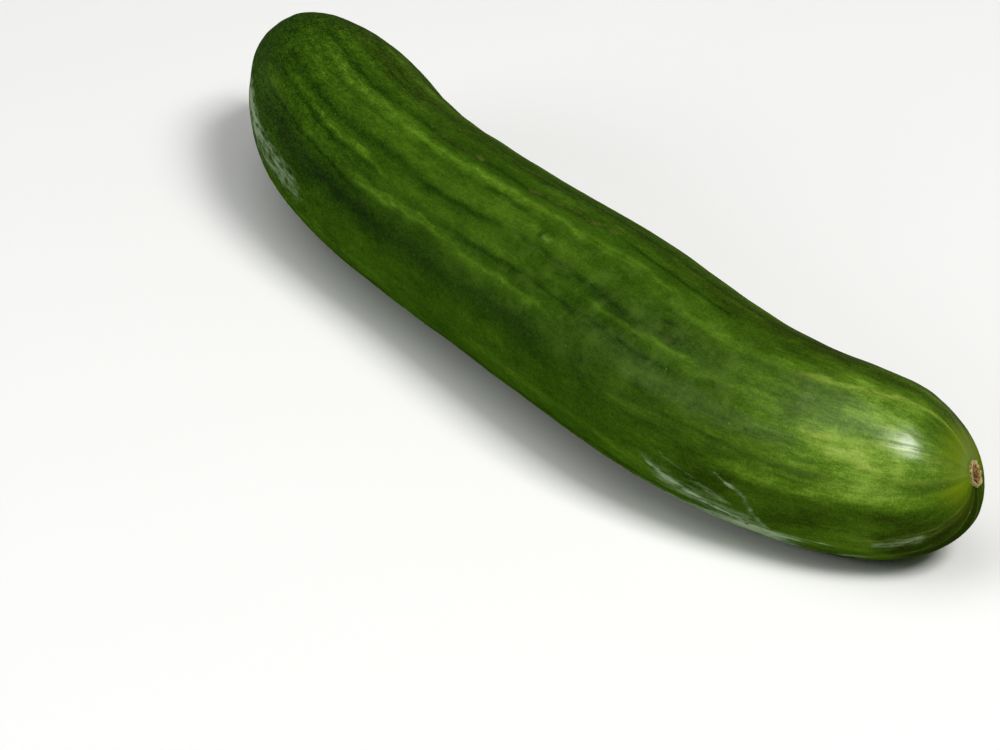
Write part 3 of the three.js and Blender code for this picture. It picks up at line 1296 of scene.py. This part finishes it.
@dataclass(frozen=True)
class Skin(Piece):
    """The skin of the body: the swept fruit with its lobes, grooves, bands and ripples, closed at both ends.

    Attributes:
        around: points in each ring.
        stalk_rings, body_rings, blossom_rings: rings over each end and between the ends.
        lobes: how many broad lobes go round the body.
        lobe_height: mm by which they stand proud.
        lobe_turn: degrees from the top to the first of them.
        end_gain: share by which grooves and bands deepen towards both ends.
        gain_reach: mm from the end where that begins, and where it is full.
        taper: share of the radius below which the relief dies away, towards the tips.
        waver: ripples in degrees, by which the streaks stray.
        roughness: ripples in mm, from dents to the finest unevenness.
    """

    axis: Axis
    name: str = "fruit_skin"
    slot: str = "skin"
    around: int = 300
    stalk_rings: int = 72
    body_rings: int = 188
    blossom_rings: int = 68
    lobes: int = 3
    lobe_height: float = 0.2
    lobe_turn: float = 25
    end_gain: float = 0.2
    gain_reach: Span = (50, 8)
    taper: float = 0.6
    waver: tuple[Ripples, ...] = (
        Ripples(height=1, wavelength=11, seed=1, stretch=4),
        Ripples(height=0.5, wavelength=4, seed=2, stretch=2),
    )
    roughness: tuple[Ripples, ...] = (
        Ripples(height=0.1, wavelength=26, seed=5, stretch=2.2),
        Ripples(height=0.05, wavelength=9, seed=6, stretch=2.0),
        Ripples(height=0.014, wavelength=4, seed=7, stretch=1.6),
    )

    def rings(self) -> Rings:
        """The round body: stations close together over both ends and evenly between them.

        Returns:
            The rings, sunk into a shallow hollow at each tip.
        """
        axis, stalk, blossom = self.axis, self.axis.stalk_end, self.axis.blossom_end
        first = stalk.insets(np.arange(1, self.stalk_rings + 1) / self.stalk_rings)
        last = blossom.insets(np.arange(self.blossom_rings, 0, -1) / self.blossom_rings)
        body = np.linspace(stalk.length, axis.length - blossom.length, self.body_rings + 2)[1:-1]
        s = np.concatenate([first, body, axis.length - last])
        radii = axis.body_radius(s)
        sunk = np.where(s < axis.length / 2, stalk.sunk(radii), -blossom.sunk(radii))
        return Rings(s + sunk, radii, self.around)

    def wander(self, s: Array, angle: Array) -> Array:
        """The angle, shifted a little here and there so that streaks waver."""
        lanes = unrolled(s, self.axis.radius, angle)
        return sum((ripples.at(lanes) for ripples in self.waver), angle)

    def relief(self, s: Array, radius: Array, angle: Array) -> tuple[Array, Array]:
        """Height of the skin over the round body: lobes + grooves and bands + ripples, none at the tips.

        Args:
            s: grid of mm along the axis.
            radius: grid of mm from the axis.
            angle: grid of degrees round the axis.

        Returns:
            Mm to add outwards, and none to add along the axis.
        """
        lanes, wander = unrolled(s, self.axis.radius, angle), self.wander(s, angle)
        height = self.lobe_height * np.cos(np.radians(self.lobes * (angle - self.lobe_turn)))
        to_end = np.minimum(s, self.axis.length - s)
        gain = 1 + self.end_gain * smoothstep(to_end, *self.gain_reach)
        for streak in self.all_streaks():
            if streak.relief:
                height = height + gain * streak.relief * streak.mask(s, wander)
        height = sum((ripples.at(lanes) for ripples in self.roughness), height)
        return height * smoothstep(radius, 0, self.axis.radius * self.taper), np.zeros_like(s)

    @staticmethod
    def all_streaks() -> list[Streak]:
        """Every streak, seen or hidden."""
        groups = (*STREAKS.values(), *HiddenSide().streaks().values())
        return [streak for group in groups for streak in group]

    def marks(self, s: Array, angle: Array) -> Array:
        """What the finish reads at each point: pale less dark (the dark takes in painted shade), yellowish
        ray, and scuff less painted sheen.

        Args:
            s: grid of mm along the axis.
            angle: grid of degrees round the axis.

        Returns:
            The three sums of streaks, in a new last axis.
        """
        wander = self.wander(s, angle)
        hidden = HiddenSide().streaks()
        sums: dict[Tone, Array] = {}
        for tone in Tone:
            streaks = STREAKS[tone] + hidden[tone]
            sums[tone] = sum(streak.strength * streak.mask(s, wander) for streak in streaks)
        # Scuffs less the painted sheen streaks.
        scuff_and_sheen = sums[Tone.SCUFF] - sums[Tone.BLOOM]
        return np.stack([sums[Tone.PALE] - sums[Tone.DARK], sums[Tone.RAY], scuff_and_sheen], axis=-1)

    def material(self, offset: Array) -> Material:
        """The waxy skin."""
        return SkinFinish().material(self.axis)

    def build(self, offset: Array) -> Object:
        """Makes and dresses the skin, which carries its streaks as well."""
        rings = self.rings()
        return carry(super().build(offset), MARKS, rings.with_poles(self.marks(*rings.grid())))


@dataclass(frozen=True)
class BlossomScar(Piece):
    """The dry scar where the flower fell off: a raised rim round a sunken, crumbly middle.

    Its profiles hold mm out from the bottom of the hollow, and mm from the axis.

    Attributes:
        around: points in each ring.
        steps: how many rings there are.
        side: profile from inside the fruit outwards.
        rim: profile over the rim.
        middle: profile inside it.
        waves: height in mm, count and phase of each wave round the outline.
        wave_radius: mm from the axis where those waves have their full height.
        crumbs: ripples that make the crumbs.
        crumble: mm by which they stand proud.
        crumbs_from: mm below the tip of the axis where they begin, and where they are full.
        deepening: mm from the axis where they start to grow deeper, and where they are deepest.
    """

    axis: Axis
    name: str = "blossom_scar"
    slot: str = "dry_scar"
    around: int = 150
    steps: int = 90
    side: Profile = ((-2.2, 0.5), (-2.2, 2.4), (-0.9, 2.9), (0.3, 3.1))
    rim: Profile = ((0.68, 2.85), (0.6, 2.5), (0.3, 2.1))
    middle: Profile = ((0.25, 1.4), (0.3, 0.6), (0.3, NARROWEST))
    waves: tuple[tuple[float, int, float], ...] = ((0.24, 3, 1), (0.14, 7, 0), (0.10, 11, 2))
    wave_radius: float = 3.5
    crumbs: tuple[Ripples, ...] = (
        Ripples(height=1, wavelength=0.9, seed=11),
        Ripples(height=0.8, wavelength=0.45, seed=12),
    )
    crumble: float = 0.12
    crumbs_from: Span = (1.6, 0.6)
    deepening: Span = (2.8, 1.2)

    def rings(self) -> Rings:
        """The outline, from inside the fruit out over the rim to the middle."""
        out, radii = smooth_profile(self.side + self.rim + self.middle, self.steps)
        return Rings(self.axis.length - self.axis.blossom_end.hollow_depth + out, radii, self.around)

    def relief(self, s: Array, radius: Array, angle: Array) -> tuple[Array, Array]:
        """An uneven outline, and crumbs over the part that shows, deepest in the middle.

        Args:
            s: grid of mm along the axis.
            radius: grid of mm from the axis.
            angle: grid of degrees round the axis.

        Returns:
            Mm to add outwards, and mm to add along the axis.
        """
        turn, places = np.radians(angle), unrolled(s, radius, angle)
        below, near = self.crumbs_from
        shows = smoothstep(s, self.axis.length - below, self.axis.length - near)
        outline = sum(height * np.cos(count * turn + phase) for height, count, phase in self.waves)
        crumbs = sum(ripples.at(places) for ripples in self.crumbs)
        inner = smoothstep(radius, *self.deepening)
        sideways = self.crumble * 0.5 * crumbs * shows * smoothstep(radius, 0, 1)
        return outline * radius / self.wave_radius + sideways, self.crumble * crumbs * shows * (0.6 + inner)

    def material(self, offset: Array) -> Material:
        """Dry tissue round the tip of the axis."""
        return ScarFinish().material(self.spot(self.axis.length, offset))


@dataclass(frozen=True)
class StalkStub(Piece):
    """The short cut stub of the stalk: five ridges, a flared foot and a cut face that has dried hollow.

    Its profiles hold mm out from the bottom of the hollow, or from the top of the stub for the cut, and mm
    from the axis.

    Attributes:
        around: points in each ring.
        steps: how many rings there are.
        height: mm from the bottom of the hollow to the top of the stub.
        cut: profile from the middle of the cut face over its edge.
        stem: profile down the sides.
        foot: profile over the flared foot and into the fruit.
        ridges: how many ridges run up the sides.
        ridge_height: mm by which they stand proud.
        ridge_growth: mm from the axis where they start to rise, and where they stand full.
        roughness: ripples in mm, finer and coarser.
    """

    axis: Axis
    name: str = "stalk_stub"
    slot: str = "cut_stalk"
    around: int = 160
    steps: int = 90
    height: float = 4.7
    cut: Profile = ((-0.35, NARROWEST), (-0.32, 1.2), (-0.08, 2.5), (-0.05, 3.1), (-0.5, 3.4))
    stem: Profile = ((2.4, 3.55), (1.0, 4.1))
    foot: Profile = ((0.1, 5.4), (-1.0, 5.6), (-2.0, 3.0), (-2.0, NARROWEST))
    ridges: int = 5
    ridge_height: float = 0.2
    ridge_growth: Span = (0.5, 3)
    roughness: tuple[Ripples, ...] = (
        Ripples(height=0.03, wavelength=0.8, seed=21, stretch=2.5),
        Ripples(height=0.05, wavelength=2.2, seed=22, stretch=2.5),
    )

    def rings(self) -> Rings:
        """The outline, from the middle of the cut face down to the foot inside the fruit.

        Returns:
            The rings.
        """
        cut = tuple((self.height + out, radius) for out, radius in self.cut)
        out, radii = smooth_profile(cut + self.stem + self.foot, self.steps)
        return Rings(self.axis.stalk_end.hollow_depth - out, radii, self.around)

    def relief(self, s: Array, radius: Array, angle: Array) -> tuple[Array, Array]:
        """Ridges up the sides, and a fine unevenness.

        Args:
            s: grid of mm along the axis.
            radius: grid of mm from the axis.
            angle: grid of degrees round the axis.

        Returns:
            Mm to add outwards, and mm to add along the axis.
        """
        places = unrolled(s, radius, angle)
        ridges = self.ridge_height * np.cos(self.ridges * np.radians(angle))
        ridges *= smoothstep(radius, *self.ridge_growth)
        rough = sum(ripples.at(places) for ripples in self.roughness)
        return ridges + rough * smoothstep(radius, 0, 1), 0.5 * rough

    def material(self, offset: Array) -> Material:
        """Green sides and a dried cut face, which lies where the outline starts."""
        cut_at = self.rings().stations.min()
        return StalkFinish().material(cut_at, self.spot(cut_at, offset))


# ---- Studio ----


def stand_off(thing: Object, target: Vector, azimuth: float, elevation: float, distance: float) -> None:
    """Stands a lamp or the camera off from a point, and turns it to face that point.

    Args:
        thing: the lamp or the camera.
        target: the point, in metres.
        azimuth: degrees round the point, where 0 is -Y and 90 is +X.
        elevation: degrees above the floor.
        distance: metres from the point.
    """
    a, e = math.radians(azimuth), math.radians(elevation)
    away = Vector((math.sin(a) * math.cos(e), -math.cos(a) * math.cos(e), math.sin(e)))
    thing.location = target + away * distance
    thing.rotation_mode = "QUATERNION"
    thing.rotation_quaternion = away.to_track_quat("Z", "Y")


@dataclass(frozen=True)
class Lamp:
    """A soft rectangular light that faces the middle of the floor.

    Attributes:
        name: the object's name.
        azimuth: degrees round the middle, where 0 is -Y and 90 is +X.
        elevation: degrees above the floor.
        distance: metres from the middle.
        size: metres across and up.
        power: watts.
        colour: colour of its light.
    """

    name: str
    azimuth: float
    elevation: float
    distance: float
    size: Span
    power: float
    colour: Colour = (1.0, 1.0, 1.0)

    def build(self) -> None:
        """Makes the light and stands it in its place."""
        light = bpy.data.lights.new(self.name, "AREA")
        light.shape = "RECTANGLE"
        light.size, light.size_y = self.size
        light.energy = self.power
        light.color = self.colour
        stand_off(add_object(self.name, light), Vector(), self.azimuth, self.elevation, self.distance)


@dataclass(frozen=True)
class Studio:
    """Pale floor, soft lights and the camera.

    Attributes:
        camera_azimuth: degrees round the point that it is aimed at, where 0 is -Y and 90 is +X.
        camera_elevation: degrees above the floor.
        camera_distance: metres from that point.
        lens: focal length in mm.
        sensor: width of the sensor in mm.
        clip: nearest and furthest metres that it sees.
        aim: the point on the floor that it is aimed at, in mm from the foot of the stalk.
        floor_size: mm from side to side.
        lamps: the lights.
        sky: colour of the even light from the room.
    """

    camera_azimuth: float = 57.55
    camera_elevation: float = 27.76
    camera_distance: float = 1.121
    lens: float = 159.6
    sensor: float = 36
    clip: Span = (0.05, 50)
    aim: Span = (156.92, -32.54)
    floor_size: float = 12_000
    lamps: tuple[Lamp, ...] = (
        Lamp("key", 101, 52, 3.0, size=(1.05, 1.0), power=64, colour=(1.0, 0.99, 0.97)),
        Lamp("halo", 94, 54, 3.1, size=(1.9, 1.9), power=17),
        Lamp("overhead", -25, 72, 3.2, size=(3.0, 3.0), power=31),
        Lamp("side_fill", -18, 23, 3.4, size=(2.6, 1.3), power=31),
    )
    sky: Colour = srgb(62, 63, 64)

    def build(self, offset: Array) -> None:
        """Sets up everything round the fruit.

        Args:
            offset: mm from the middle of the floor to the foot of the stalk.
        """
        self.add_floor()
        for lamp in self.lamps:
            lamp.build()
        self.add_sky()
        self.add_camera(offset)
        bpy.context.scene.view_settings.view_transform = "Standard"

    def add_floor(self) -> None:
        """A plain square board, far wider than the view."""
        corners = np.array([(-1, -1, 0), (1, -1, 0), (1, 1, 0), (-1, 1, 0)]) * (self.floor_size / 2)
        floor = make_mesh("floor", corners, np.array([[0, 1, 2, 3]]))
        floor.data.materials.append(FloorFinish().material())
        floor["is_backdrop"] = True

    def add_sky(self) -> None:
        """Even light from the room."""
        world = bpy.data.worlds.new("room")
        world.use_nodes = True
        world.node_tree.nodes["Background"].inputs["Color"].default_value = (*self.sky, 1)
        bpy.context.scene.world = world

    def add_camera(self, offset: Array) -> None:
        """The camera, aimed at a point on the floor beside the fruit.

        Args:
            offset: mm from the middle of the floor to the foot of the stalk.
        """
        lens = bpy.data.cameras.new("camera")
        lens.lens = self.lens
        lens.sensor_width = self.sensor
        lens.clip_start, lens.clip_end = self.clip
        camera = add_object("camera", lens)
        target = (Vector((*self.aim, 0)) + Vector(offset)) * MM
        stand_off(camera, target, self.camera_azimuth, self.camera_elevation, self.camera_distance)
        bpy.context.scene.camera = camera


# ---- Assembly ----


def row_offset(pieces: tuple[Piece, ...]) -> Array:
    """Finds where the foot of the stalk has to stand for the pieces to lie in the CAD fruit's place.

    Args:
        pieces: the pieces of the fruit.

    Returns:
        Mm from the axis's own frame to the object's.
    """
    points = np.concatenate([piece.points().reshape(-1, 3) for piece in pieces])
    middle = (points.max(axis=0) + points.min(axis=0)) / 2
    low, high = (np.array(corner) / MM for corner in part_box(NODE))
    shift = (low + high) / 2 - middle
    return np.array([shift[0], shift[1], 0.0])


def write_sizes(cad: tuple[Vector, Vector]) -> None:
    """Sets the CAD model's box, which is given in metres, beside the visual model's, and keeps neither."""
    boxes = {"cad": cad, "visual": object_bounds()}
    {name: [list(corner) for corner in box] for name, box in boxes.items()}


def main() -> None:
    """Builds the pieces of the fruit in the CAD fruit's place, then the studio round them."""
    logging.basicConfig(level=logging.INFO, format="%(name)s: %(message)s")
    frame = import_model()
    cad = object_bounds()
    LOG.info("nodes of the CAD fruit: %d", len(frame["nodes"]))
    axis = Axis()
    pieces = (Skin(axis), BlossomScar(axis), StalkStub(axis))
    offset = row_offset(pieces)
    LOG.info("the foot of the stalk is at %.2f, %.2f mm", *offset[:2])
    for piece in pieces:
        thing = piece.build(offset)
        LOG.info("%s: %d triangles, slot %s", thing.name, len(thing.data.polygons), piece.slot)
    Studio().build(offset)
    write_sizes(cad)


if __name__ == "__main__":
    main()
